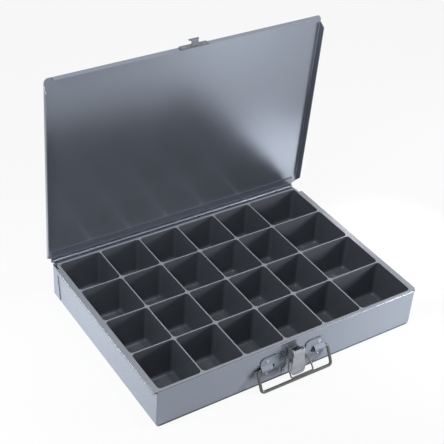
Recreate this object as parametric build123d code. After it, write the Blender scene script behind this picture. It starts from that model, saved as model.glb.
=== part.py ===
from build123d import *

import math
import os

# Compartment storage box. Millimetres, +Z up, front towards -Y.
# Origin: centre of the underside. Rest pose: lid open, leaning a little forward.

# Sheet-metal body
SHEET = 0.9
BODY_WIDTH = 332.0
BODY_DEPTH = 236.0
BODY_HEIGHT = 48.0
BOTTOM_BEND = 4.1
SMALL_BEND = 0.8
RIM_OVERHANG = 3.6
RIM_TURN_DOWN = 3.0
RIM_REAR_STOP = 14.0
RIM_CORNER_CUT = 2.6
REAR_WALL_STEP = 1.8

# Front and rear panels
FRONT_TOP_FLANGE = 1.8
REAR_TOP_FLANGE = 5.5
BOTTOM_FLANGE = 9.0
SIDE_RETURN = 6.0
RETURN_BOTTOM = 7.0
RETURN_TOP_GAP = 3.0
TAB_LENGTH_TOP = 11.5
TAB_LENGTH_BOTTOM = 17.0
TAB_CUT = 4.0
TAB_BOTTOM = 6.0
SEAM = 0.05

# Compartment insert
COLUMNS_EVEN = 5
COLUMN_PITCH = 51.0
ROWS_EVEN = 3
ROW_PITCH = 57.5
INSERT_FRONT_GAP = 0.3
INSERT_SIDE_GAP = 1.7
INSERT_REAR_GAP = 0.5
INSERT_FLANGE = 1.2
INSERT_FLANGE_INSET = 0.5
INSERT_FLANGE_CORNER = 4.0
INSERT_FLANGE_REAR = 1.0
OUTER_WALL = 1.2
DIVIDER = 1.3
INSERT_FLOOR = 1.3
INSERT_SEAT_GAP = 0.05
INSERT_CORNER = 5.0
POCKET_CORNER = 4.2
POCKET_FLOOR_BEND = 3.8

# Piano hinge
LEAF = 0.8
PIN_RADIUS = 1.15
PIN_CLEARANCE = 0.05
KNUCKLES = 27
KNUCKLE_GAP = 0.15
HINGE_END_GAP = 1.0
LEAF_WIDTH = 12.5
LEAF_CUT_BACK = 0.35
LEAF_GAP = 0.1

# Lid
LID_OPEN_ANGLE = 87.0
LID_SIDE_CLEARANCE = 1.6
LID_FRONT_CLEARANCE = 0.7
LID_BEND = 0.9
LID_CORNER = 7.0
LID_REAR_CUT = 5.5
LID_REAR_CUT_END = 2.7
LID_REAR_OVERLAP = 0.5
FRONT_LIP = 7.8
SIDE_LIP = 7.8
SIDE_LIP_FLARE = 1.2
LIP_CORNER_GAP = 1.5
SIDE_LIP_FRONT = 14.0
SIDE_LIP_REAR = 13.5
REAR_LIP_GAP = 0.3
STOP_GAP = 0.1

# Strike on the lid's front lip
STRIKE_SHEET = 1.0
STRIKE_WIDTH = 35.0
STRIKE_HEIGHT = 6.4
STRIKE_TOP_GAP = 0.9
STRIKE_CORNER = 1.6
HOOK_DROP = 5.7
HOOK_REACH = 7.2
HOOK_ARM_WIDTH = 8.5
HOOK_TOP_WIDTH = 12.5
HOOK_RISE = 4.0
HOOK_TOP_HEIGHT = 2.2
HOOK_BEND = 0.6
STRIKE_RIVET_X = 12.5

# Draw catch on the front panel
CATCH_SHEET = 1.0
CATCH_FOOT_WIDTH = 25.0
CATCH_FOOT_BOTTOM = 4.5
CATCH_FOOT_TOP = 13.0
CATCH_SHOULDER_WIDTH = 17.0
CATCH_SHOULDER_TOP = 27.5
CATCH_NECK_WIDTH = 12.0
CATCH_TOP_DROP = 1.1
CATCH_EAR_DROP = 5.7
CATCH_EAR_RADIUS = 2.2
CATCH_CORNER = 1.5
PIVOT_OUT = 8.6
PIVOT_HEIGHT = 37.7
CATCH_PIN_RADIUS = 1.2
CATCH_PIN_FIT = 0.06
CATCH_PIN_HEAD = 1.9
CATCH_PIN_HEAD_THICK = 0.6
LEVER_ROLL = 3.4
LEVER_ROLL_ANGLE = 45.0
LEVER_HEEL = 6.0
LEVER_FLARE_WIDTH = 19.2
LEVER_TIP_WIDTH = 16.4
LEVER_TIP_CORNER = 5.0
LEVER_FLARE_CORNER = 2.0
LEVER_CREASE_DROP = 3.5
LEVER_CREASE_LENGTH = 1.5
LEVER_CREASE_DEPTH = 0.6
LEVER_NECK_DROP = 10.2
LEVER_MIDDLE_DROP = 19.2
LEVER_MIDDLE_LEAN = 3.4
LEVER_FLARE_DROP = 19.7
LEVER_LENGTH = 28.9
LEVER_TIP_LEAN = 1.3
EAR_GAP = 0.4
LOOP_PIVOT_IN = 1.4
LOOP_PIVOT_DROP = 10.2
LOOP_BEARING = 3.1
LOOP_WIRE = 0.9
LOOP_FIT = 0.06
LOOP_WIDTH = 28.4
LOOP_SHOULDER = 8.4
LOOP_STUB_IN = 1.8
LOOP_STUB_OUT = 2.4
LOOP_SIDE_PLAY = 1.2
LOOP_BEND = 2.0
LOOP_REST_ANGLE = 40.0

# Handle
BRACKET_SHEET = 1.2
BRACKET_INNER = 16.5
BRACKET_OUTER = 41.5
BRACKET_DROP = 15.5
BRACKET_RISE = 14.3
BRACKET_TOP_CORNER = 6.0
BRACKET_BOTTOM_CORNER = 3.0
BAIL_WIRE = 1.75
BAIL_FIT = 0.06
BAIL_PIVOT_OUT = 2.1
BAIL_PIVOT_HEIGHT = 22.5
BAIL_BAR_OUT = 13.0
BAIL_LEG_X = 45.6
BAIL_BEND = 3.8
BAIL_END_X = 28.2
TUNNEL_WALL = 1.0
TUNNEL_INNER_X = 27.6
TUNNEL_SKIRT = 2.0
TUNNEL_WINDOW_X = 26.4
TUNNEL_WINDOW = 2.9

# Rivets
RIVET_SHANK = 1.3
RIVET_HEAD = 2.2
RIVET_DOME = 0.8
RIVET_TAIL = 1.9
RIVET_TAIL_THICK = 0.5
CATCH_RIVET_X = 9.3
CATCH_RIVET_LOW = 8.8
CATCH_RIVET_HIGH = 20.5
BRACKET_RIVET_X = 33.7
BRACKET_RIVET_RISE = 8.5
BRACKET_RIVET_DROP = 8.5
BRACKET_RIVET_HEAD = 2.7
BRACKET_LOW_HEAD = 1.7
BRACKET_LOW_SHANK = 1.0

# Sizes that follow
HALF_WIDTH = BODY_WIDTH / 2
FRONT = -BODY_DEPTH / 2
REAR = BODY_DEPTH / 2
INNER_HALF = HALF_WIDTH - SHEET
RIM_HALF = HALF_WIDTH + RIM_OVERHANG
INSERT_HALF = INNER_HALF - INSERT_SIDE_GAP
INSERT_FRONT = FRONT + FRONT_TOP_FLANGE + INSERT_FRONT_GAP
INSERT_REAR = REAR - REAR_TOP_FLANGE - INSERT_REAR_GAP
INSERT_BOTTOM = 2 * SHEET + INSERT_SEAT_GAP
INSERT_TOP = BODY_HEIGHT + INSERT_FLANGE
KNUCKLE_BORE = PIN_RADIUS + PIN_CLEARANCE
KNUCKLE = KNUCKLE_BORE + LEAF
LID_UNDERSIDE = INSERT_TOP + LEAF + LEAF_GAP
LID_TOP = LID_UNDERSIDE + SHEET
HINGE_Y = REAR + KNUCKLE
HINGE_Z = LID_UNDERSIDE - KNUCKLE
HINGE_LENGTH = BODY_WIDTH - 2 * HINGE_END_GAP
LID_HALF = RIM_HALF + LID_SIDE_CLEARANCE + SHEET
LID_FRONT = FRONT - LID_FRONT_CLEARANCE - SHEET
REAR_LIP_INNER = HINGE_Y + KNUCKLE + REAR_LIP_GAP
LID_REAR = REAR_LIP_INNER + SHEET
LID_REAR_HALF = HALF_WIDTH + LID_REAR_OVERLAP
REAR_LIP = 2 * KNUCKLE - LEAF - STOP_GAP
LEVER_STOP_OUT = CATCH_SHEET + STOP_GAP
HOOK_SHELF = LID_TOP - HOOK_DROP
CATCH_TOP = PIVOT_HEIGHT - CATCH_TOP_DROP
CATCH_EAR_BOTTOM = PIVOT_HEIGHT - CATCH_EAR_DROP
LEVER_CREASE_TOP = PIVOT_HEIGHT - LEVER_CREASE_DROP
LEVER_CREASE_BOTTOM = LEVER_CREASE_TOP - LEVER_CREASE_LENGTH
LEVER_NECK_HEIGHT = PIVOT_HEIGHT - LEVER_NECK_DROP
LEVER_MIDDLE_HEIGHT = PIVOT_HEIGHT - LEVER_MIDDLE_DROP
LEVER_MIDDLE_OUT = PIVOT_OUT + LEVER_MIDDLE_LEAN
LEVER_FLARE_HEIGHT = PIVOT_HEIGHT - LEVER_FLARE_DROP
LEVER_TIP_HEIGHT = PIVOT_HEIGHT - LEVER_LENGTH
LEVER_TIP_OUT = LEVER_MIDDLE_OUT + LEVER_TIP_LEAN
LOOP_PIVOT_OUT = PIVOT_OUT - LOOP_PIVOT_IN
LOOP_PIVOT_HEIGHT = PIVOT_HEIGHT - LOOP_PIVOT_DROP
LOOP_LENGTH = HOOK_SHELF - LOOP_PIVOT_HEIGHT + LOOP_WIRE + 2 * STOP_GAP
BRACKET_BOTTOM = BAIL_PIVOT_HEIGHT - BRACKET_DROP
BRACKET_TOP = BAIL_PIVOT_HEIGHT + BRACKET_RISE
BRACKET_RIVET_HIGH = BAIL_PIVOT_HEIGHT + BRACKET_RIVET_RISE
BRACKET_RIVET_LOW = BAIL_PIVOT_HEIGHT - BRACKET_RIVET_DROP
BRACKET_RIVETS = [
    (BRACKET_RIVET_HIGH, BRACKET_RIVET_HEAD, RIVET_SHANK),
    (BRACKET_RIVET_LOW, BRACKET_LOW_HEAD, BRACKET_LOW_SHANK),
]


def rounded(corners):
    """Face in the XY plane from (x, y, radius) corners."""
    count = len(corners)
    edges = []
    starts, ends = [], []
    middles = []
    for i, (x, y, radius) in enumerate(corners):
        before = corners[i - 1]
        after = corners[(i + 1) % count]
        ax, ay = before[0] - x, before[1] - y
        bx, by = after[0] - x, after[1] - y
        la, lb = math.hypot(ax, ay), math.hypot(bx, by)
        ax, ay, bx, by = ax / la, ay / la, bx / lb, by / lb
        half = math.acos(max(-1.0, min(1.0, ax * bx + ay * by))) / 2
        if radius <= 0:
            starts.append((x, y))
            ends.append((x, y))
            middles.append(None)
            continue
        back = radius / math.tan(half)
        starts.append((x + ax * back, y + ay * back))
        ends.append((x + bx * back, y + by * back))
        mx, my = ax + bx, ay + by
        lm = math.hypot(mx, my)
        reach = radius / math.sin(half) - radius
        middles.append((x + mx / lm * reach, y + my / lm * reach))
    for i in range(count):
        if middles[i]:
            edges.append(Edge.make_three_point_arc(starts[i], middles[i], ends[i]))
        here, there = ends[i], starts[(i + 1) % count]
        if math.dist(here, there) > 1e-6:
            edges.append(Edge.make_line(here, there))
    return Face(Wire(edges))


def rectangle(x0, y0, x1, y1, radius=0.0):
    return rounded([(x0, y0, radius), (x1, y0, radius), (x1, y1, radius), (x0, y1, radius)])


def strip(path, thickness, bends):
    """Face of constant thickness along a centre line, its bends rounded inside."""
    half = thickness / 2
    left, right = [], []
    count = len(path)
    for i in range(count):
        here = path[i]
        steps = []
        if i > 0:
            steps.append((here[0] - path[i - 1][0], here[1] - path[i - 1][1]))
        if i < count - 1:
            steps.append((path[i + 1][0] - here[0], path[i + 1][1] - here[1]))
        units = [(dx / math.hypot(dx, dy), dy / math.hypot(dx, dy)) for dx, dy in steps]
        normals = [(-dy, dx) for dx, dy in units]
        if len(units) == 1:
            offset = normals[0]
            turn = 0.0
        else:
            shared = 1 + normals[0][0] * normals[1][0] + normals[0][1] * normals[1][1]
            offset = tuple((normals[0][k] + normals[1][k]) / shared for k in (0, 1))
            turn = units[0][0] * units[1][1] - units[0][1] * units[1][0]
        bend = bends[i - 1] if 0 < i < count - 1 else 0.0
        inside, outside = (bend, bend + thickness) if bend else (0.0, 0.0)
        on_left, on_right = (inside, outside) if turn > 0 else (outside, inside)
        left.append((here[0] + offset[0] * half, here[1] + offset[1] * half, on_left))
        right.append((here[0] - offset[0] * half, here[1] - offset[1] * half, on_right))
    return rounded(left + right[::-1])


def along_x(face, x0, x1):
    """Solid from a (y, z) face."""
    plane = Plane(origin=(x0, 0, 0), x_dir=(0, 1, 0), z_dir=(1, 0, 0))
    return extrude(plane * face, amount=x1 - x0, dir=(1, 0, 0))


def along_y(face, y0, y1):
    """Solid from an (x, z) face."""
    plane = Plane(origin=(0, y1, 0), x_dir=(1, 0, 0), z_dir=(0, -1, 0))
    return extrude(plane * face, amount=y1 - y0, dir=(0, -1, 0))


def along_z(face, z0, z1):
    """Solid from an (x, y) face."""
    return extrude(Pos(0, 0, z0) * face, amount=z1 - z0, dir=(0, 0, 1))


def block(x0, x1, y0, y1, z0, z1):
    return along_z(rectangle(x0, y0, x1, y1), z0, z1)


def both(solid):
    """The solid and its mirror image across the middle plane."""
    return solid + mirror(solid, about=Plane.YZ)


def disc(x, y, radius):
    return Pos(x, y) * Circle(radius)


def out(distance):
    """Y of a point this far in front of the front panel."""
    return FRONT - distance


def bent_wire(points, radius, bend):
    path = FilletPolyline(*points, radius=bend)
    section = Plane(origin=path @ 0, z_dir=path % 0) * Circle(radius)
    return sweep(section, path=path)


def rivet(x, z, seat, grip, head=RIVET_HEAD, shank=RIVET_SHANK):
    """Rivet pointing out of the front at y = seat, its tail behind the gripped sheets."""
    dome = (head**2 + RIVET_DOME**2) / (2 * RIVET_DOME)
    cap = Pos(0, 0, RIVET_DOME - dome) * Sphere(dome)
    cap = cap & (Pos(0, 0, RIVET_DOME) * Cylinder(head, 2 * RIVET_DOME))
    body = Pos(0, 0, -grip / 2) * Cylinder(shank, grip)
    tail_radius = min(RIVET_TAIL, head)
    tail = Pos(0, 0, -grip - RIVET_TAIL_THICK / 2) * Cylinder(tail_radius, RIVET_TAIL_THICK)
    return Pos(x, seat, z) * Rot(90, 0, 0) * (cap + body + tail)


def rivet_hole(x, z, y0, y1, shank=RIVET_SHANK):
    return along_y(disc(x, z, shank), y0, y1)


def front_rivet_holes(y0, y1):
    """Holes for every rivet of the catch and the handle brackets."""
    holes = [
        rivet_hole(-CATCH_RIVET_X, CATCH_RIVET_LOW, y0, y1),
        rivet_hole(CATCH_RIVET_X, CATCH_RIVET_LOW, y0, y1),
        rivet_hole(0, CATCH_RIVET_HIGH, y0, y1),
    ]
    for side in (-1, 1):
        for height, _, shank in BRACKET_RIVETS:
            holes.append(rivet_hole(side * BRACKET_RIVET_X, height, y0, y1, shank))
    return holes


def opened(solid):
    """From the closed lid's position to the rest pose."""
    pivot = Pos(0, HINGE_Y, HINGE_Z)
    return pivot * Rot(-LID_OPEN_ANGLE, 0, 0) * pivot.inverse() * solid


def make_body_shell():
    centre = SHEET / 2
    wall = HALF_WIDTH - centre
    rim = RIM_HALF - centre
    top = BODY_HEIGHT - centre
    path = [
        (-rim, BODY_HEIGHT - RIM_TURN_DOWN),
        (-rim, top),
        (-wall, top),
        (-wall, centre),
        (wall, centre),
        (wall, top),
        (rim, top),
        (rim, BODY_HEIGHT - RIM_TURN_DOWN),
    ]
    bends = [SMALL_BEND, SMALL_BEND, BOTTOM_BEND, BOTTOM_BEND, SMALL_BEND, SMALL_BEND]
    shell = along_y(strip(path, SHEET, bends), FRONT, REAR)
    wall_top = BODY_HEIGHT - REAR_WALL_STEP
    rim_end = REAR - RIM_REAR_STOP
    above = BODY_HEIGHT + SHEET
    shell -= block(-RIM_HALF - 1, RIM_HALF + 1, rim_end, REAR + 1, wall_top, above)
    rim_bottom = BODY_HEIGHT - RIM_TURN_DOWN - 1
    shell -= both(block(HALF_WIDTH, RIM_HALF + 1, rim_end, REAR + 1, rim_bottom, above))
    cut = RIM_CORNER_CUT
    for end, step in ((FRONT, cut), (rim_end, -cut)):
        corner = rounded([(RIM_HALF, end, 0), (RIM_HALF, end + step, 0), (RIM_HALF - cut, end, 0)])
        shell -= both(along_z(corner, rim_bottom, above))
    wall_end = REAR - SHEET - SMALL_BEND - SEAM
    notch = block(INNER_HALF - 1, HALF_WIDTH + 1, wall_end, REAR + 1, TAB_BOTTOM - SEAM, above)
    return shell - both(notch)


def inside_outline(top):
    """Outline of a panel that stands inside the shell, in (x, z)."""
    half = INNER_HALF - SEAM
    return rounded(
        [
            (-half, SHEET, BOTTOM_BEND),
            (half, SHEET, BOTTOM_BEND),
            (half, top, 0),
            (-half, top, 0),
        ]
    )


def side_returns(y0, y1, top):
    """Narrow flanges of a panel, flat against the side walls' inner faces."""
    outer = INNER_HALF - SEAM
    return both(block(outer - SHEET, outer, y0, y1, RETURN_BOTTOM, top))


def make_front_panel():
    centre = SHEET / 2
    plate = FRONT + centre
    path = [
        (FRONT + BOTTOM_FLANGE, SHEET + centre),
        (plate, SHEET + centre),
        (plate, BODY_HEIGHT - centre),
        (FRONT + FRONT_TOP_FLANGE, BODY_HEIGHT - centre),
    ]
    half = INNER_HALF - SEAM
    panel = along_x(strip(path, SHEET, [SMALL_BEND, SMALL_BEND]), -half, half)
    panel &= along_y(inside_outline(BODY_HEIGHT), FRONT, FRONT + BOTTOM_FLANGE)
    panel += side_returns(FRONT, FRONT + SIDE_RETURN, BODY_HEIGHT - RETURN_TOP_GAP)
    for hole in front_rivet_holes(FRONT - 1, FRONT + SHEET + 1):
        panel -= hole
    return panel


def make_rear_panel():
    centre = SHEET / 2
    plate = REAR - centre
    top = BODY_HEIGHT
    path = [
        (REAR - BOTTOM_FLANGE, SHEET + centre),
        (plate, SHEET + centre),
        (plate, top - centre),
        (REAR - REAR_TOP_FLANGE, top - centre),
    ]
    half = INNER_HALF - SEAM
    panel = along_x(strip(path, SHEET, [SMALL_BEND, SMALL_BEND]), -half, half)
    panel &= along_y(inside_outline(top), REAR - BOTTOM_FLANGE, REAR)
    tab_top = BODY_HEIGHT - REAR_WALL_STEP
    outer = HALF_WIDTH + SEAM + SHEET
    path = [
        (-outer + centre, REAR - TAB_LENGTH_BOTTOM),
        (-outer + centre, plate),
        (outer - centre, plate),
        (outer - centre, REAR - TAB_LENGTH_BOTTOM),
    ]
    wrap = along_z(strip(path, SHEET, [SMALL_BEND, SMALL_BEND]), TAB_BOTTOM, tab_top)
    tab = rounded(
        [
            (REAR, TAB_BOTTOM, 0),
            (REAR, tab_top, 0),
            (REAR - TAB_LENGTH_TOP + TAB_CUT, tab_top, 0),
            (REAR - TAB_LENGTH_TOP, tab_top - TAB_CUT, 0),
            (REAR - TAB_LENGTH_BOTTOM, TAB_BOTTOM, 0),
        ]
    )
    return panel + (wrap & along_x(tab, -outer, outer))


def make_insert():
    body = along_z(
        rectangle(-INSERT_HALF, INSERT_FRONT, INSERT_HALF, INSERT_REAR, INSERT_CORNER),
        INSERT_BOTTOM,
        INSERT_TOP,
    )
    edge = RIM_HALF - INSERT_FLANGE_INSET
    inner_edge = INNER_HALF - INSERT_FRONT_GAP
    step = REAR - RIM_REAR_STOP - INSERT_FLANGE_INSET
    corner = INSERT_FLANGE_CORNER
    flange = rounded(
        [
            (-edge, FRONT + INSERT_FLANGE_INSET, corner),
            (edge, FRONT + INSERT_FLANGE_INSET, corner),
            (edge, step, 0),
            (inner_edge, step, 0),
            (inner_edge, INSERT_REAR + INSERT_FLANGE_REAR, corner),
            (-inner_edge, INSERT_REAR + INSERT_FLANGE_REAR, corner),
            (-inner_edge, step, 0),
            (-edge, step, 0),
        ]
    )
    body += along_z(flange, BODY_HEIGHT, INSERT_TOP)
    inner_left = -INSERT_HALF + OUTER_WALL
    inner_right = INSERT_HALF - OUTER_WALL
    inner_front = INSERT_FRONT + OUTER_WALL
    inner_rear = INSERT_REAR - OUTER_WALL
    column_lines = [inner_left - DIVIDER / 2]
    column_lines += [inner_left + i * COLUMN_PITCH for i in range(1, COLUMNS_EVEN + 1)]
    column_lines += [inner_right + DIVIDER / 2]
    row_lines = [inner_front - DIVIDER / 2]
    row_lines += [inner_front + i * ROW_PITCH for i in range(1, ROWS_EVEN + 1)]
    row_lines += [inner_rear + DIVIDER / 2]
    floor = INSERT_BOTTOM + INSERT_FLOOR
    made = {}
    pockets = []
    for x0, x1 in zip(column_lines, column_lines[1:]):
        for y0, y1 in zip(row_lines, row_lines[1:]):
            size = (round(x1 - x0 - DIVIDER, 6), round(y1 - y0 - DIVIDER, 6))
            if size not in made:
                made[size] = make_pocket(*size, INSERT_TOP - floor + 1)
            pockets.append(Pos((x0 + x1) / 2, (y0 + y1) / 2, floor) * made[size])
    return body - pockets


def make_pocket(width, depth, height):
    """Compartment space, its floor at z = 0 and its corners rounded."""
    outline = rectangle(-width / 2, -depth / 2, width / 2, depth / 2, POCKET_CORNER)
    pocket = along_z(outline, 0, height)
    edges = pocket.faces().sort_by(Axis.Z)[0].edges()
    return fillet(edges, POCKET_FLOOR_BEND)


def knuckle_segments(first):
    pitch = HINGE_LENGTH / KNUCKLES
    for i in range(first, KNUCKLES, 2):
        start = -HINGE_LENGTH / 2 + i * pitch
        yield start + KNUCKLE_GAP / 2, start + pitch - KNUCKLE_GAP / 2


def make_leaf(first):
    """Leaf hanging down in front of the axis, its knuckles rolled to the rear."""
    face_y = HINGE_Y - KNUCKLE
    bottom = HINGE_Z - LEAF_WIDTH
    clear = HINGE_Z - KNUCKLE - LEAF_CUT_BACK
    leaf = along_x(rectangle(face_y, bottom, face_y + LEAF, clear), -HINGE_LENGTH / 2, HINGE_LENGTH / 2)
    profile = disc(HINGE_Y, HINGE_Z, KNUCKLE) + rectangle(face_y, clear, face_y + LEAF, HINGE_Z)
    profile -= disc(HINGE_Y, HINGE_Z, KNUCKLE_BORE)
    for x0, x1 in knuckle_segments(first):
        leaf += along_x(profile, x0, x1)
    return leaf


def make_lid_leaf():
    """The other leaf, turned to lie flat under the lid's closed underside."""
    pivot = Pos(0, HINGE_Y, HINGE_Z)
    return opened(pivot * Rot(-90, 0, 0) * pivot.inverse() * make_leaf(1))


def make_hinge_pin():
    return along_x(disc(HINGE_Y, HINGE_Z, PIN_RADIUS), -HINGE_LENGTH / 2, HINGE_LENGTH / 2)


def make_lid():
    centre = SHEET / 2
    side = LID_HALF - centre
    top = LID_TOP - centre
    low = LID_TOP - SIDE_LIP
    path = [(-side - SIDE_LIP_FLARE, low), (-side, top), (side, top), (side + SIDE_LIP_FLARE, low)]
    lid = along_y(strip(path, SHEET, [LID_BEND, LID_BEND]), LID_FRONT, LID_REAR)
    outside = LID_HALF + SIDE_LIP_FLARE + SHEET
    below = low - SHEET
    lip_start = LID_FRONT + LID_CORNER + LIP_CORNER_GAP
    rear_cut = rounded(
        [
            (HINGE_Y - SIDE_LIP_REAR, below, 0),
            (LID_REAR + SHEET, below, 0),
            (LID_REAR + SHEET, LID_UNDERSIDE, 0),
            (HINGE_Y - LID_REAR_CUT, LID_UNDERSIDE, 0),
            (HINGE_Y - SIDE_LIP_REAR, low, 0),
        ]
    )
    front_cut = rounded(
        [
            (LID_FRONT - SHEET, below, 0),
            (LID_FRONT + SIDE_LIP_FRONT, below, 0),
            (LID_FRONT + SIDE_LIP_FRONT, low, 0),
            (lip_start, LID_UNDERSIDE, 0),
            (LID_FRONT - SHEET, LID_UNDERSIDE, 0),
        ]
    )
    for cut in (rear_cut, front_cut):
        lid -= along_x(cut, -outside, outside)
    front_half = LID_HALF - LID_CORNER - LIP_CORNER_GAP
    lid += block(-front_half, front_half, LID_FRONT, LID_FRONT + SHEET, LID_TOP - FRONT_LIP, LID_UNDERSIDE)
    hinge_half = HINGE_LENGTH / 2
    lid += block(-hinge_half, hinge_half, REAR_LIP_INNER, LID_REAR, LID_UNDERSIDE - REAR_LIP, LID_UNDERSIDE)
    bend = LID_BEND + SHEET
    envelope = along_x(
        rounded(
            [
                (LID_FRONT, below, 0),
                (LID_REAR, below, 0),
                (LID_REAR, LID_TOP, bend),
                (LID_FRONT, LID_TOP, bend),
            ]
        ),
        -outside,
        outside,
    )
    lid &= envelope
    middle = (LID_HALF - LID_CORNER, LID_FRONT + LID_CORNER)
    front_corner = rectangle(middle[0], LID_FRONT - SHEET, outside, middle[1])
    front_corner -= disc(*middle, LID_CORNER)
    rear_corner = rounded(
        [
            (outside, HINGE_Y - LID_REAR_CUT, 0),
            (outside, LID_REAR + SHEET, 0),
            (LID_REAR_HALF, LID_REAR + SHEET, 0),
            (LID_REAR_HALF, HINGE_Y - LID_REAR_CUT_END, 0),
            (LID_HALF, HINGE_Y - LID_REAR_CUT, 0),
        ]
    )
    for corner in (front_corner, rear_corner):
        lid -= both(along_z(corner, below, LID_TOP + SHEET))
    for side in (-1, 1):
        lid -= rivet_hole(side * STRIKE_RIVET_X, strike_middle(), LID_FRONT - 1, LID_FRONT + SHEET + 1)
    return opened(lid)


def strike_middle():
    """Height of the strike's rivets with the lid closed."""
    return LID_TOP - STRIKE_TOP_GAP - STRIKE_HEIGHT / 2


def make_strike():
    top = LID_TOP - STRIKE_TOP_GAP
    bottom = top - STRIKE_HEIGHT
    half = STRIKE_WIDTH / 2
    seat = LID_FRONT - STRIKE_SHEET
    strike = along_y(rectangle(-half, bottom, half, top, STRIKE_CORNER), seat, LID_FRONT)
    arm = HOOK_SHELF - STRIKE_SHEET / 2
    tip = seat - HOOK_REACH + STRIKE_SHEET / 2
    path = [(LID_FRONT - STRIKE_SHEET / 2, arm), (tip, arm), (tip, arm + HOOK_RISE)]
    arm_half = HOOK_ARM_WIDTH / 2
    strike += along_x(strip(path, STRIKE_SHEET, [HOOK_BEND]), -arm_half, arm_half)
    wide = HOOK_TOP_WIDTH / 2
    crown = arm + HOOK_RISE
    top_bar = rectangle(-wide, crown - HOOK_TOP_HEIGHT, wide, crown, HOOK_BEND)
    strike += along_y(top_bar, tip - STRIKE_SHEET / 2, tip + STRIKE_SHEET / 2)
    for side in (-1, 1):
        strike -= rivet_hole(side * STRIKE_RIVET_X, strike_middle(), seat - 1, LID_FRONT + 1)
    return opened(strike)


def make_strike_rivets():
    grip = STRIKE_SHEET + SHEET
    seat = LID_FRONT - STRIKE_SHEET
    made = [rivet(side * STRIKE_RIVET_X, strike_middle(), seat, grip) for side in (-1, 1)]
    return Compound(children=[opened(one) for one in made])


def make_catch_base():
    plate = rounded(
        [
            (-CATCH_FOOT_WIDTH / 2, CATCH_FOOT_BOTTOM, CATCH_CORNER),
            (CATCH_FOOT_WIDTH / 2, CATCH_FOOT_BOTTOM, CATCH_CORNER),
            (CATCH_FOOT_WIDTH / 2, CATCH_FOOT_TOP, CATCH_CORNER),
            (CATCH_SHOULDER_WIDTH / 2, CATCH_FOOT_TOP, CATCH_CORNER),
            (CATCH_SHOULDER_WIDTH / 2, CATCH_SHOULDER_TOP, 0),
            (CATCH_NECK_WIDTH / 2, CATCH_SHOULDER_TOP, 0),
            (CATCH_NECK_WIDTH / 2, CATCH_TOP, 0),
            (-CATCH_NECK_WIDTH / 2, CATCH_TOP, 0),
            (-CATCH_NECK_WIDTH / 2, CATCH_SHOULDER_TOP, 0),
            (-CATCH_SHOULDER_WIDTH / 2, CATCH_SHOULDER_TOP, 0),
            (-CATCH_SHOULDER_WIDTH / 2, CATCH_FOOT_TOP, CATCH_CORNER),
            (-CATCH_FOOT_WIDTH / 2, CATCH_FOOT_TOP, CATCH_CORNER),
        ]
    )
    base = along_y(plate, out(CATCH_SHEET), FRONT)
    ear = disc(out(PIVOT_OUT), PIVOT_HEIGHT, CATCH_EAR_RADIUS)
    ear += rounded(
        [
            (FRONT, CATCH_EAR_BOTTOM, 0),
            (FRONT, CATCH_TOP, 0),
            (out(PIVOT_OUT), PIVOT_HEIGHT + CATCH_EAR_RADIUS, 0),
            (out(PIVOT_OUT + CATCH_EAR_RADIUS), PIVOT_HEIGHT, 0),
            (out(PIVOT_OUT), CATCH_EAR_BOTTOM + 1, 0),
        ]
    )
    ear -= disc(out(PIVOT_OUT), PIVOT_HEIGHT, CATCH_PIN_RADIUS)
    neck = CATCH_NECK_WIDTH / 2
    base += both(along_x(ear, neck - CATCH_SHEET, neck))
    for hole in front_rivet_holes(out(CATCH_SHEET) - 1, FRONT + 1)[:3]:
        base -= hole
    return base


def make_catch_rivets():
    grip = CATCH_SHEET + SHEET
    seat = out(CATCH_SHEET)
    spots = [(-CATCH_RIVET_X, CATCH_RIVET_LOW), (CATCH_RIVET_X, CATCH_RIVET_LOW), (0, CATCH_RIVET_HIGH)]
    return Compound(children=[rivet(x, z, seat, grip) for x, z in spots])


def lever_ear_outer():
    return CATCH_NECK_WIDTH / 2 + EAR_GAP + CATCH_SHEET


def make_catch_pin():
    end = lever_ear_outer() + SEAM
    pin = along_x(disc(out(PIVOT_OUT), PIVOT_HEIGHT, CATCH_PIN_RADIUS), -end, end)
    head = along_x(disc(out(PIVOT_OUT), PIVOT_HEIGHT, CATCH_PIN_HEAD), end, end + CATCH_PIN_HEAD_THICK)
    return pin + both(head)


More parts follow.
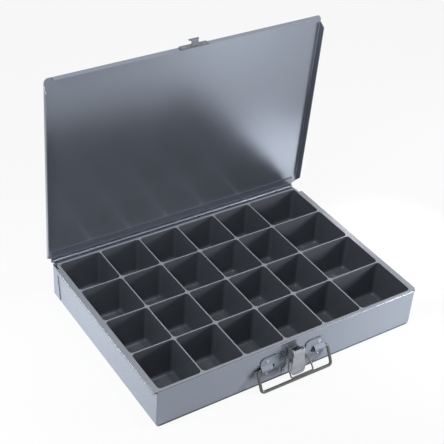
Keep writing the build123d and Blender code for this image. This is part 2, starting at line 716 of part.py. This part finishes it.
def make_catch_lever():
    pivot_y = out(PIVOT_OUT)
    loop_y = out(LOOP_PIVOT_OUT)
    half = CATCH_SHEET / 2
    roll_out = PIVOT_OUT + LEVER_ROLL - half
    path = [
        (out(roll_out), PIVOT_HEIGHT),
        (out(roll_out), LEVER_CREASE_TOP),
        (out(roll_out - LEVER_CREASE_DEPTH), LEVER_CREASE_BOTTOM),
        (out(LEVER_MIDDLE_OUT), LEVER_MIDDLE_HEIGHT),
        (out(LEVER_TIP_OUT), LEVER_TIP_HEIGHT - CATCH_SHEET),
    ]
    flare = LEVER_FLARE_WIDTH / 2
    plate = along_x(strip(path, CATCH_SHEET, [SMALL_BEND, SMALL_BEND, 0]), -flare, flare)
    neck = lever_ear_outer()
    tip = LEVER_TIP_WIDTH / 2
    outline = rounded(
        [
            (-neck, PIVOT_HEIGHT + LEVER_ROLL, 0),
            (-neck, LEVER_NECK_HEIGHT, 0),
            (-flare, LEVER_FLARE_HEIGHT, LEVER_FLARE_CORNER),
            (-tip, LEVER_TIP_HEIGHT, LEVER_TIP_CORNER),
            (tip, LEVER_TIP_HEIGHT, LEVER_TIP_CORNER),
            (flare, LEVER_FLARE_HEIGHT, LEVER_FLARE_CORNER),
            (neck, LEVER_NECK_HEIGHT, 0),
            (neck, PIVOT_HEIGHT + LEVER_ROLL, 0),
        ]
    )
    plate &= along_y(outline, out(2 * LEVER_TIP_OUT), FRONT)
    roll = disc(pivot_y, PIVOT_HEIGHT, LEVER_ROLL) - disc(pivot_y, PIVOT_HEIGHT, LEVER_ROLL - CATCH_SHEET)
    reach = 2 * LEVER_ROLL
    rise = reach * math.tan(math.radians(LEVER_ROLL_ANGLE))
    roll &= rounded(
        [
            (pivot_y, PIVOT_HEIGHT, 0),
            (pivot_y - reach, PIVOT_HEIGHT, 0),
            (pivot_y - reach, PIVOT_HEIGHT + rise, 0),
        ]
    )
    lever = plate + along_x(roll, -neck, neck)
    low = LOOP_PIVOT_HEIGHT - LOOP_BEARING
    ear = disc(pivot_y, PIVOT_HEIGHT, LEVER_ROLL) + disc(loop_y, LOOP_PIVOT_HEIGHT, LOOP_BEARING)
    ear += rounded(
        [
            (pivot_y + LEVER_ROLL, PIVOT_HEIGHT, 0),
            (pivot_y - LEVER_ROLL + half, PIVOT_HEIGHT, 0),
            (out(roll_out), LEVER_CREASE_TOP, 0),
            (out(roll_out - LEVER_CREASE_DEPTH), LEVER_CREASE_BOTTOM, 0),
            (out(roll_out - LEVER_CREASE_DEPTH), low, 0),
            (out(LEVER_STOP_OUT), low, 0),
            (out(LEVER_STOP_OUT), low + LEVER_HEEL, 0),
        ]
    )
    ear -= disc(pivot_y, PIVOT_HEIGHT, CATCH_PIN_RADIUS + CATCH_PIN_FIT)
    ear -= disc(loop_y, LOOP_PIVOT_HEIGHT, LOOP_WIRE + LOOP_FIT)
    return lever + both(along_x(ear, neck - CATCH_SHEET, neck))


def make_catch_loop():
    angle = math.radians(LOOP_REST_ANGLE)

    def at(x, along):
        y = out(LOOP_PIVOT_OUT + along * math.sin(angle))
        return (x + LOOP_SIDE_PLAY, y, LOOP_PIVOT_HEIGHT - along * math.cos(angle))

    ear = lever_ear_outer()
    inner = ear - CATCH_SHEET - LOOP_STUB_IN
    elbow = ear + LOOP_STUB_OUT
    wide = LOOP_WIDTH / 2
    right = [at(wide, LOOP_LENGTH), at(wide, LOOP_SHOULDER), at(elbow, 0), at(inner, 0)]
    left = [at(-inner, 0), at(-elbow, 0), at(-wide, LOOP_SHOULDER), at(-wide, LOOP_LENGTH)]
    return bent_wire(left + right, LOOP_WIRE, LOOP_BEND)


def make_bracket(side):
    plate = along_y(
        rounded(
            [
                (BRACKET_INNER, BRACKET_BOTTOM, BRACKET_BOTTOM_CORNER),
                (BRACKET_OUTER, BRACKET_BOTTOM, BRACKET_BOTTOM_CORNER),
                (BRACKET_OUTER, BRACKET_TOP, BRACKET_TOP_CORNER),
                (BRACKET_INNER, BRACKET_TOP, BRACKET_TOP_CORNER),
            ]
        ),
        out(BRACKET_SHEET),
        FRONT,
    )
    y, z = out(BAIL_PIVOT_OUT), BAIL_PIVOT_HEIGHT
    bore = BAIL_WIRE + BAIL_FIT
    outer = bore + TUNNEL_WALL
    ridge = disc(y, z, outer)
    slope = outer * math.sqrt(0.5)
    ridge += rounded(
        [
            (FRONT, z - outer - TUNNEL_SKIRT, 0),
            (out(BRACKET_SHEET), z - outer - TUNNEL_SKIRT, 0),
            (y - slope, z - slope, 0),
            (y - slope, z + slope, 0),
            (out(BRACKET_SHEET), z + outer + TUNNEL_SKIRT, 0),
            (FRONT, z + outer + TUNNEL_SKIRT, 0),
        ]
    )
    ridge &= rectangle(out(2 * BAIL_PIVOT_OUT + outer), BRACKET_BOTTOM, FRONT, BRACKET_TOP)
    bracket = plate + along_x(ridge, TUNNEL_INNER_X, BRACKET_OUTER)
    channel = disc(y, z, bore) + rectangle(y, z - bore, FRONT + 1, z + bore)
    bracket -= along_x(channel, TUNNEL_WINDOW_X, BRACKET_OUTER + 1)
    bracket -= along_y(disc(TUNNEL_WINDOW_X, z, TUNNEL_WINDOW), out(BRACKET_SHEET) - 1, FRONT + 1)
    for height, _, shank in BRACKET_RIVETS:
        bracket -= rivet_hole(BRACKET_RIVET_X, height, out(BRACKET_SHEET) - 1, FRONT + 1, shank)
    return bracket if side > 0 else mirror(bracket, about=Plane.YZ)


def make_bracket_rivets():
    grip = BRACKET_SHEET + SHEET
    seat = out(BRACKET_SHEET)
    made = []
    for side in (-1, 1):
        for height, head, shank in BRACKET_RIVETS:
            made.append(rivet(side * BRACKET_RIVET_X, height, seat, grip, head, shank))
    return Compound(children=made)


def make_handle_bail():
    pivot_y = out(BAIL_PIVOT_OUT)
    bar_y = out(BAIL_BAR_OUT)
    right = [
        (BAIL_LEG_X, bar_y, BAIL_WIRE),
        (BAIL_LEG_X, pivot_y, BAIL_PIVOT_HEIGHT),
        (BAIL_END_X, pivot_y, BAIL_PIVOT_HEIGHT),
    ]
    left = [(-x, y, z) for x, y, z in right[::-1]]
    return bent_wire(left + right, BAIL_WIRE, BAIL_BEND)


NODES = {
    "body_shell": make_body_shell,
    "front_panel": make_front_panel,
    "rear_panel": make_rear_panel,
    "compartment_insert": make_insert,
    "hinge_leaf_body": lambda: make_leaf(0),
    "hinge_leaf_lid": make_lid_leaf,
    "hinge_pin": make_hinge_pin,
    "lid": make_lid,
    "strike": make_strike,
    "strike_rivets": make_strike_rivets,
    "catch_base": make_catch_base,
    "catch_rivets": make_catch_rivets,
    "catch_pin": make_catch_pin,
    "catch_lever": make_catch_lever,
    "catch_loop": make_catch_loop,
    "handle_bracket_left": lambda: make_bracket(-1),
    "handle_bracket_right": lambda: make_bracket(1),
    "handle_rivets": make_bracket_rivets,
    "handle_bail": make_handle_bail,
}

os.makedirs("parts", exist_ok=True)
for node, make in NODES.items():
    export_step(make(), f"parts/{node}.step")
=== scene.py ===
import math

import bmesh
import bpy
from bpy.props import FloatProperty, FloatVectorProperty, PointerProperty
from mathutils import Matrix, Vector

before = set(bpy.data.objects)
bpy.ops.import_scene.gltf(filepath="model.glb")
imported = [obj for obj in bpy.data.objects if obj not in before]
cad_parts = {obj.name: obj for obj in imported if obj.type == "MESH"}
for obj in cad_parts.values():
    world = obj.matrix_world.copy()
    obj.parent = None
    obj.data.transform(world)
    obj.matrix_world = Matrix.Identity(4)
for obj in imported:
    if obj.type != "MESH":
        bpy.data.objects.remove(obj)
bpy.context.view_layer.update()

bl_info = {
    "name": "Compartment storage box",
    "version": (1, 0, 0),
    "blender": (4, 5, 0),
    "location": "View3D > Sidebar > Storage box",
    "description": "Dresses the sheet-steel compartment box and sets its stage",
    "category": "Object",
}

# The picture's side in pixels and the sensor's side in millimetres, both square
IMAGE_SIZE = 444
SENSOR = 36.0
# Nearest and farthest distance that the camera sees, in metres
CLIP_START, CLIP_END = 0.01, 50.0

# Half of the table's side, and how far the table lies under the box, in metres
TABLE_REACH = 4.0
TABLE_DROP = 0.0002
# Share of plain white in the table, as the camera sees it and as reflections show it
TABLE_WHITE, TABLE_WHITE_REFLECTED = 0.9, 0.4

WHITE = (1.0, 1.0, 1.0, 1.0)
AMBIENT = (0.9, 0.95, 1.0, 1.0)
AMBIENT_STRENGTH = 0.25
# Spread in degrees of a lamp that nothing narrows
OPEN_SPREAD = 180.0

# The noise between these two values becomes the whole drift, from darkest to lightest
NOISE_LOW, NOISE_HIGH = 0.3, 0.7
# How much rougher the surface gets where its tone drifts lighter
ROUGHNESS_PER_TONE = 0.8

SHEET_NODES = ["body_shell", "front_panel", "rear_panel", "lid"]
HINGE_NODES = ["hinge_leaf_body", "hinge_leaf_lid"]
PLATED_NODES = ["catch_base", "catch_lever"]
BRACKET_NODES = ["handle_bracket_left", "handle_bracket_right"]
RIVET_NODES = ["strike_rivets", "catch_rivets", "handle_rivets"]
PIN_NODES = ["hinge_pin", "catch_pin"]


# Properties


def colour(name, description, value):
    return FloatVectorProperty(
        name=name, description=description, default=value, size=3, subtype="COLOR",
        min=0.0, max=1.0,
    )


def share(name, description, value):
    return FloatProperty(
        name=name, description=description, default=value, subtype="FACTOR", min=0.0, max=1.0,
    )


def height(name, description, metres):
    return FloatProperty(
        name=name, description=description, default=metres, unit="LENGTH", min=0.0,
    )


def angle(name, description, degrees):
    return FloatProperty(
        name=name, description=description, default=math.radians(degrees), subtype="ANGLE",
    )


class BoxFinishes(bpy.types.PropertyGroup):
    enamel: colour("Enamel", "Stoved enamel on the body and lid", (0.266, 0.293, 0.349))
    enamel_metallic: share("Enamel metallic", "Share of metal flake in the enamel", 0.8)
    enamel_roughness: share("Enamel roughness", "Roughness of the enamel", 0.25)
    insert: colour("Insert", "Moulded plastic of the compartments", (0.105, 0.115, 0.134))
    # Painted light: this lighter colour on the flange and divider tops stands in for the light
    # that falls on them.
    insert_top_light: colour(
        "Insert rim", "Painted light on the plastic of flange and divider tops", (0.3, 0.316, 0.348)
    )
    pin: colour("Pins", "Bright steel of the hinge pin and the catch pin", (0.42, 0.44, 0.48))
    plated: colour("Catch", "Dull plated steel of the catch", (0.30, 0.31, 0.35))
    strike: colour("Strike", "Dull plated steel of the strike on the lid", (0.19, 0.205, 0.225))
    rivet: colour("Rivets", "Dull steel of the rivets", (0.26, 0.28, 0.31))
    wire: colour("Wire", "Dark plated wire of handle and catch loop", (0.12, 0.13, 0.127))


class BoxSizes(bpy.types.PropertyGroup):
    # Painted light on the insert's tops fades in between these two heights.
    top_light_start: height("Top light start", "Height at which the insert begins to take painted light", 0.0489)
    top_light_full: height("Top light full", "Height from which the insert takes painted light in full", 0.0492)


class BoxStage(bpy.types.PropertyGroup):
    floor: colour("Floor", "Table top under the box", (0.74, 0.74, 0.74))
    azimuth: angle("Azimuth", "Camera direction round the box", -34.74)
    elevation: angle("Elevation", "Camera height above the horizon", 35.78)
    roll: angle("Roll", "Camera turn about its own line of sight", 4.05)
    focal_pixels: FloatProperty(
        name="Focal length", description="Focal length in pixels of the square picture",
        default=1086.13, min=1.0,
    )
    eye: FloatVectorProperty(
        name="Camera place", description="Place of the camera",
        default=(-0.5589, -0.7756, 0.8116), size=3, subtype="TRANSLATION", unit="LENGTH",
    )


def finishes():
    return bpy.context.scene.box_finishes


def sizes():
    return bpy.context.scene.box_sizes


# Materials


def calculate(tree, operation, *values, clamp=False):
    """A Math node that works on sockets and plain numbers, given in the order of its inputs."""
    node = tree.nodes.new("ShaderNodeMath")
    node.operation = operation
    node.use_clamp = clamp
    for value, entry in zip(values, node.inputs):
        if isinstance(value, bpy.types.NodeSocket):
            tree.links.new(value, entry)
        else:
            entry.default_value = value
    return node.outputs["Value"]


def finish_group():
    """Slow drift of tone and fine grain over a surface, as colour, roughness and height."""
    name = "Surface finish"
    if name in bpy.data.node_groups:
        return bpy.data.node_groups[name]
    group = bpy.data.node_groups.new(name, "ShaderNodeTree")
    for label, kind, default in [
        ("Color", "NodeSocketColor", (0.5, 0.5, 0.5, 1.0)),
        ("Roughness", "NodeSocketFloat", 0.4),
        ("Drift", "NodeSocketFloat", 0.1),
        ("Drift Scale", "NodeSocketFloat", 14.0),
        ("Grain Scale", "NodeSocketFloat", 900.0),
        ("Grain", "NodeSocketFloat", 0.1),
    ]:
        item = group.interface.new_socket(name=label, in_out="INPUT", socket_type=kind)
        item.default_value = default
    for label, kind in [
        ("Color", "NodeSocketColor"),
        ("Roughness", "NodeSocketFloat"),
        ("Height", "NodeSocketFloat"),
    ]:
        group.interface.new_socket(name=label, in_out="OUTPUT", socket_type=kind)
    nodes, links = group.nodes, group.links
    given = nodes.new("NodeGroupInput")
    result = nodes.new("NodeGroupOutput")
    place = nodes.new("ShaderNodeTexCoord")
    drift = nodes.new("ShaderNodeTexNoise")
    grain = nodes.new("ShaderNodeTexNoise")
    for noise, scale, detail in [(drift, "Drift Scale", 3.0), (grain, "Grain Scale", 2.0)]:
        links.new(place.outputs["Object"], noise.inputs["Vector"])
        links.new(given.outputs[scale], noise.inputs["Scale"])
        noise.inputs["Detail"].default_value = detail
    span = nodes.new("ShaderNodeMapRange")
    for entry, value in [
        ("From Min", NOISE_LOW), ("From Max", NOISE_HIGH), ("To Min", -1.0), ("To Max", 1.0),
    ]:
        span.inputs[entry].default_value = value
    links.new(drift.outputs["Fac"], span.inputs["Value"])
    change = calculate(group, "MULTIPLY", span.outputs["Result"], given.outputs["Drift"])
    gain = calculate(group, "ADD", change, 1.0)
    tone = nodes.new("ShaderNodeVectorMath")
    tone.operation = "SCALE"
    links.new(given.outputs["Color"], tone.inputs["Vector"])
    links.new(gain, tone.inputs["Scale"])
    links.new(tone.outputs["Vector"], result.inputs["Color"])
    rough = calculate(
        group, "MULTIPLY_ADD", change, ROUGHNESS_PER_TONE, given.outputs["Roughness"], clamp=True
    )
    links.new(rough, result.inputs["Roughness"])
    relief = calculate(group, "MULTIPLY", grain.outputs["Fac"], given.outputs["Grain"])
    links.new(relief, result.inputs["Height"])
    return group


def surface(name, tint, roughness, metallic, drift=0.06, drift_scale=14.0, grain_scale=900.0,
            grain=0.3, bump=0.00004, coat=0.0, coat_roughness=0.1, specular=0.5):
    """Material with the shared finish; the bump is the depth of the grain in metres."""
    material = bpy.data.materials.new(name)
    material.use_nodes = True
    nodes, links = material.node_tree.nodes, material.node_tree.links
    shader = nodes["Principled BSDF"]
    for entry, value in [
        ("Metallic", metallic), ("Specular IOR Level", specular),
        ("Coat Weight", coat), ("Coat Roughness", coat_roughness),
    ]:
        shader.inputs[entry].default_value = value
    finish = nodes.new("ShaderNodeGroup")
    finish.node_tree = finish_group()
    for entry, value in [
        ("Color", (*tint, 1.0)), ("Roughness", roughness), ("Drift", drift),
        ("Drift Scale", drift_scale), ("Grain Scale", grain_scale), ("Grain", grain),
    ]:
        finish.inputs[entry].default_value = value
    relief = nodes.new("ShaderNodeBump")
    relief.inputs["Strength"].default_value = 1.0
    relief.inputs["Distance"].default_value = bump
    links.new(finish.outputs["Color"], shader.inputs["Base Color"])
    links.new(finish.outputs["Roughness"], shader.inputs["Roughness"])
    links.new(finish.outputs["Height"], relief.inputs["Height"])
    links.new(relief.outputs["Normal"], shader.inputs["Normal"])
    return material


def paint_top_light(material, tint, low, high):
    """Goes over to the given colour between two heights on the piece, as painted light on the
    top faces.
    """
    nodes, links = material.node_tree.nodes, material.node_tree.links
    place = nodes.new("ShaderNodeTexCoord")
    split = nodes.new("ShaderNodeSeparateXYZ")
    links.new(place.outputs["Object"], split.inputs["Vector"])
    painted_light_mask = nodes.new("ShaderNodeMapRange")
    painted_light_mask.inputs["From Min"].default_value = low
    painted_light_mask.inputs["From Max"].default_value = high
    links.new(split.outputs["Z"], painted_light_mask.inputs["Value"])
    mix = nodes.new("ShaderNodeMix")
    mix.data_type = "RGBA"
    links.new(painted_light_mask.outputs["Result"], mix.inputs["Factor"])
    base = nodes["Principled BSDF"].inputs["Base Color"]
    links.new(base.links[0].from_socket, mix.inputs["A"])
    mix.inputs["B"].default_value = (*tint, 1.0)
    links.new(mix.outputs["Result"], base)


def wear(names, material):
    """Gives each named piece this one material."""
    for name in names:
        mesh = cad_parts[name].data
        mesh.materials.clear()
        mesh.materials.append(material)


def enamel(name, shade):
    """Stoved enamel, darkened where the shade is under 1; on the hinge the darkening is painted
    shade.
    """
    look = finishes()
    tint = [shade * part for part in look.enamel]
    return surface(
        name, tint, look.enamel_roughness, look.enamel_metallic,
        drift=0.03, drift_scale=9.0, grain_scale=1400.0, grain=0.4, bump=0.00002,
    )


# Pieces


class BOX_OT_sheet_metal(bpy.types.Operator):
    """Gives the body, panels, lid and handle brackets their stoved enamel"""

    bl_idname = "storage_box.sheet_metal"
    bl_label = "Enamelled sheet metal"

    def execute(self, context):
        wear(SHEET_NODES, enamel("Stoved enamel", shade=1.0))
        wear(BRACKET_NODES, enamel("Bracket enamel", shade=0.95))
        return {"FINISHED"}


class BOX_OT_insert(bpy.types.Operator):
    """Gives the compartment insert its moulded plastic, with painted light along the top"""

    bl_idname = "storage_box.insert"
    bl_label = "Compartment insert"

    def execute(self, context):
        look, size = finishes(), sizes()
        plastic = surface(
            "Moulded plastic", look.insert, roughness=0.42, metallic=0.0,
            drift=0.05, drift_scale=20.0, grain_scale=1600.0, grain=0.5, bump=0.00003,
            coat=0.25, coat_roughness=0.12,
        )
        # Painted light: the flange and divider tops get a lighter colour for the light that
        # falls on them.
        paint_top_light(plastic, look.insert_top_light, size.top_light_start, size.top_light_full)
        wear(["compartment_insert"], plastic)
        return {"FINISHED"}


class BOX_OT_hinge(bpy.types.Operator):
    """Paints the piano hinge in the sheets' enamel darkened as painted shade, and leaves both
    pins bright
    """

    bl_idname = "storage_box.hinge"
    bl_label = "Piano hinge"

    def execute(self, context):
        # Painted shade: the hinge has the body's enamel, darkened to 0.7 of its colour for the
        # shade on the hinge.
        wear(HINGE_NODES, enamel("Hinge enamel", shade=0.7))
        steel = surface(
            "Pin steel", finishes().pin, roughness=0.3, metallic=1.0, drift=0.06, grain=0.3
        )
        wear(PIN_NODES, steel)
        return {"FINISHED"}


class BOX_OT_catch(bpy.types.Operator):
    """Gives the draw catch, its strike and all rivets their dull steel"""

    bl_idname = "storage_box.catch"
    bl_label = "Draw catch"

    def execute(self, context):
        look = finishes()
        plated = surface(
            "Plated steel", look.plated, roughness=0.38, metallic=0.6,
            drift=0.08, drift_scale=60.0,
        )
        wear(PLATED_NODES, plated)
        dark = surface(
            "Strike steel", look.strike, roughness=0.4, metallic=0.6,
            drift=0.08, drift_scale=60.0,
        )
        wear(["strike"], dark)
        dull = surface(
            "Rivet steel", look.rivet, roughness=0.6, metallic=0.2,
            drift=0.08, drift_scale=90.0, specular=0.2,
        )
        wear(RIVET_NODES, dull)
        return {"FINISHED"}


class BOX_OT_handle(bpy.types.Operator):
    """Gives the bail handle and the catch loop their plated wire"""

    bl_idname = "storage_box.handle"
    bl_label = "Handle and loop wire"

    def execute(self, context):
        wire = surface(
            "Plated wire", finishes().wire, roughness=0.24, metallic=0.85,
            drift=0.08, drift_scale=80.0,
        )
        wear(["handle_bail", "catch_loop"], wire)
        return {"FINISHED"}


# Stage


def white_share(tree, direct, reflected):
    """How much white shows: one share for camera rays, one for glossy and transmitted rays."""
    path = tree.nodes.new("ShaderNodeLightPath")
    most = calculate(tree, "MULTIPLY", path.outputs["Is Camera Ray"], direct)
    for ray in ["Is Glossy Ray", "Is Transmission Ray"]:
        part = calculate(tree, "MULTIPLY", path.outputs[ray], reflected)
        most = calculate(tree, "MAXIMUM", most, part)
    return most


def show_white(tree, plain, white, output, direct=1.0, reflected=1.0):
    """Mixes white into what is seen of a plain shader and not into the light that it gives."""
    white.inputs["Color"].default_value = WHITE
    white.inputs["Strength"].default_value = 1.0
    mix = tree.nodes.new("ShaderNodeMixShader")
    tree.links.new(white_share(tree, direct, reflected), mix.inputs["Fac"])
    tree.links.new(plain.outputs[0], mix.inputs[1])
    tree.links.new(white.outputs[0], mix.inputs[2])
    tree.links.new(mix.outputs["Shader"], output.inputs["Surface"])


def lamp(name, place, target, size, power, spread=OPEN_SPREAD, mirrored=True):
    """Rectangular lamp, in metres, watts and degrees; glossy surfaces mirror it or don't."""
    data = bpy.data.lights.new(name, "AREA")
    data.spread = math.radians(spread)
    data.shape = "RECTANGLE"
    data.size, data.size_y = size
    data.energy = power
    obj = bpy.data.objects.new(name, data)
    bpy.context.scene.collection.objects.link(obj)
    obj.location = place
    obj.rotation_euler = (Vector(target) - Vector(place)).to_track_quat("-Z", "Y").to_euler()
    obj.visible_glossy = mirrored


class BOX_OT_stage(bpy.types.Operator):
    """Sets the floor, the lamps, the world and the camera"""

    bl_idname = "storage_box.stage"
    bl_label = "Stage"

    def execute(self, context):
        scene = context.scene
        self.floor(scene)
        self.world(scene)
        self.lamps()
        scene.view_settings.view_transform = "Standard"
        self.camera(scene)
        return {"FINISHED"}

    def floor(self, scene):
        """Large flat table just under the box."""
        floor_mesh = bpy.data.meshes.new("floor")
        shape = bmesh.new()
        bmesh.ops.create_grid(shape, x_segments=1, y_segments=1, size=TABLE_REACH)
        bmesh.ops.translate(shape, vec=(0.0, 0.0, -TABLE_DROP), verts=shape.verts)
        shape.to_mesh(floor_mesh)
        shape.free()
        floor = bpy.data.objects.new("floor", floor_mesh)
        scene.collection.objects.link(floor)
        floor_mesh.materials.append(self.floor_material(scene.box_stage.floor))

    def floor_material(self, tint):
        """Matt table that the camera and reflections see nearly white, its shadows kept."""
        material = bpy.data.materials.new("White table")
        material.use_nodes = True
        nodes = material.node_tree.nodes
        shader = nodes["Principled BSDF"]
        shader.inputs["Base Color"].default_value = (*tint, 1.0)
        shader.inputs["Roughness"].default_value = 0.8
        shader.inputs["Specular IOR Level"].default_value = 0.1
        white = nodes.new("ShaderNodeEmission")
        show_white(
            material.node_tree, shader, white, nodes["Material Output"],
            direct=TABLE_WHITE, reflected=TABLE_WHITE_REFLECTED,
        )
        return material

    def world(self, scene):
        """Faint cool light from all round, behind a background that is seen white."""
        world = bpy.data.worlds.new("Studio")
        scene.world = world
        world.use_nodes = True
        nodes = world.node_tree.nodes
        ambient = nodes["Background"]
        ambient.inputs["Color"].default_value = AMBIENT
        ambient.inputs["Strength"].default_value = AMBIENT_STRENGTH
        white = nodes.new("ShaderNodeBackground")
        show_white(world.node_tree, ambient, white, nodes["World Output"])

    def lamps(self):
        """Softboxes and small lamps; those not mirrored leave no bright line on folded edges."""
        lamp(
            "Front softbox", place=(0.5, -0.52, 0.2), target=(0.1, 0.0, 0.06),
            size=(0.14, 0.14), power=1.2,
        )
        lamp(
            "Front fill", place=(0.5, -0.52, 0.2), target=(0.1, 0.0, 0.06),
            size=(0.14, 0.14), power=1.3, mirrored=False,
        )
        lamp(
            "Low front lamp", place=(0.5, -0.42, 0.05), target=(0.1, -0.118, 0.0),
            size=(0.08, 0.05), power=0.31, spread=35.0, mirrored=False,
        )
        lamp(
            "Right softbox", place=(0.62, 0.02, 0.3), target=(0.1, -0.05, 0.0),
            size=(0.3, 0.3), power=0.6,
        )
        lamp(
            "Left softbox", place=(-0.62, 0.16, 0.03), target=(-0.166, 0.03, 0.02),
            size=(0.4, 0.05), power=1.78, spread=60.0, mirrored=False,
        )
        lamp(
            "Left top lamp", place=(-0.45, -0.1, 0.6), target=(0.0, 0.0, 0.02),
            size=(0.2, 0.2), power=1.7, mirrored=False,
        )
        lamp(
            "Right floor lamp", place=(0.3, 0.02, 0.35), target=(0.245, 0.01, 0.0),
            size=(0.06, 0.06), power=0.27, spread=30.0,
        )
        lamp(
            "Top lamp", place=(0.1, -0.1, 1.2), target=(0.0, 0.0, 0.0),
            size=(0.12, 0.12), power=2.5,
        )

    def camera(self, scene):
        """Camera at its place, aimed by azimuth and elevation and turned by the roll."""
        stage = scene.box_stage
        azimuth, elevation, roll = stage.azimuth, stage.elevation, stage.roll
        sin, cos = math.sin, math.cos
        back = Vector(
            (sin(azimuth) * cos(elevation), -cos(azimuth) * cos(elevation), sin(elevation))
        )
        level = Vector((cos(azimuth), sin(azimuth), 0.0))
        upright = back.cross(level)
        right = cos(roll) * level + sin(roll) * upright
        up = cos(roll) * upright - sin(roll) * level
        data = bpy.data.cameras.new("Camera")
        data.sensor_width = SENSOR
        data.sensor_height = SENSOR
        data.lens = stage.focal_pixels / IMAGE_SIZE * SENSOR
        data.clip_start = CLIP_START
        data.clip_end = CLIP_END
        camera = bpy.data.objects.new("Camera", data)
        scene.collection.objects.link(camera)
        turn = Matrix((right, up, back)).transposed().to_4x4()
        camera.matrix_world = Matrix.Translation(Vector(stage.eye)) @ turn
        scene.camera = camera


class BOX_PT_panel(bpy.types.Panel):
    """Finishes, sizes, stage and pieces of the storage box"""

    bl_idname = "BOX_PT_panel"
    bl_label = "Storage box"
    bl_space_type = "VIEW_3D"
    bl_region_type = "UI"
    bl_category = "Storage box"

    def draw(self, context):
        scene = context.scene
        for group in (scene.box_finishes, scene.box_sizes, scene.box_stage):
            column = self.layout.column(align=True)
            for name in group.bl_rna.properties.keys():
                if name not in {"rna_type", "name"}:
                    column.prop(group, name)
        for operator in OPERATORS:
            self.layout.operator(operator.bl_idname)


OPERATORS = [
    BOX_OT_sheet_metal, BOX_OT_insert, BOX_OT_hinge, BOX_OT_catch, BOX_OT_handle, BOX_OT_stage,
]
CLASSES = [BoxFinishes, BoxSizes, BoxStage, *OPERATORS, BOX_PT_panel]


def register():
    for cls in CLASSES:
        bpy.utils.register_class(cls)
    bpy.types.Scene.box_finishes = PointerProperty(type=BoxFinishes)
    bpy.types.Scene.box_sizes = PointerProperty(type=BoxSizes)
    bpy.types.Scene.box_stage = PointerProperty(type=BoxStage)


def unregister():
    del bpy.types.Scene.box_stage
    del bpy.types.Scene.box_sizes
    del bpy.types.Scene.box_finishes
    for cls in reversed(CLASSES):
        bpy.utils.unregister_class(cls)


def main():
    register()
    bpy.ops.storage_box.sheet_metal()
    bpy.ops.storage_box.insert()
    bpy.ops.storage_box.hinge()
    bpy.ops.storage_box.catch()
    bpy.ops.storage_box.handle()
    bpy.ops.storage_box.stage()


if __name__ == "__main__":
    main()
